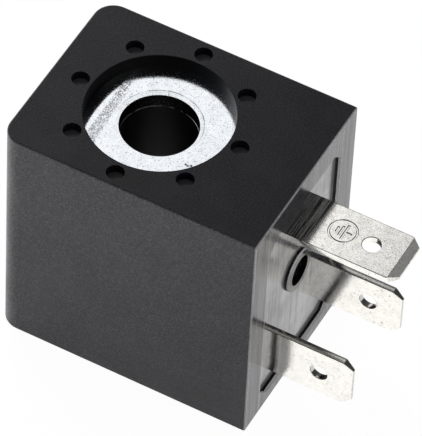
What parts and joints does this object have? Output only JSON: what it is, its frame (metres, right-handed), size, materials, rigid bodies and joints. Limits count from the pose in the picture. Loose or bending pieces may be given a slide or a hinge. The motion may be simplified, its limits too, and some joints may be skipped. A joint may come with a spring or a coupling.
{
  "type": "solenoid valve coil",
  "caption": "Encapsulated solenoid valve coil with a through bore, a zinc-plated steel yoke and three flat tab terminals for a plug connector.",
  "frame": {"origin": "on the bore axis, midway between the two outer faces of the steel yoke", "axes": "+Z along the bore towards the end that the earth blade is nearer to, +X out of the connector face that carries the blades, +Y completes the right-handed frame"},
  "size_m": [0.0417, 0.022, 0.0296],
  "materials": {
    "housing_plastic": "glass-filled nylon, black, matt as moulded",
    "zinc_plated_steel": "bright zinc plate on strip steel",
    "bobbin_plastic": "glass-filled nylon, black",
    "enamelled_copper": "enamelled copper winding wire",
    "polyester_tape": "polyester film tape",
    "solder": "bright solder",
    "tinned_brass": "tin plate on stamped brass strip",
    "rivet_steel": "zinc-plated steel",
    "nut_steel": "zinc-plated steel"
  },
  "bodies": {
    "root": {"housing": "housing_plastic", "yoke": "zinc_plated_steel", "bobbin": "bobbin_plastic", "winding": "enamelled_copper", "winding_tape": "polyester_tape", "start_lead": "enamelled_copper", "finish_lead": "enamelled_copper", "solder_joints": "solder", "terminal_1": "tinned_brass", "terminal_2": "tinned_brass", "earth_terminal": "tinned_brass", "earth_rivet": "rivet_steel", "fixing_nut": "nut_steel"}
  },
  "joints": []
}
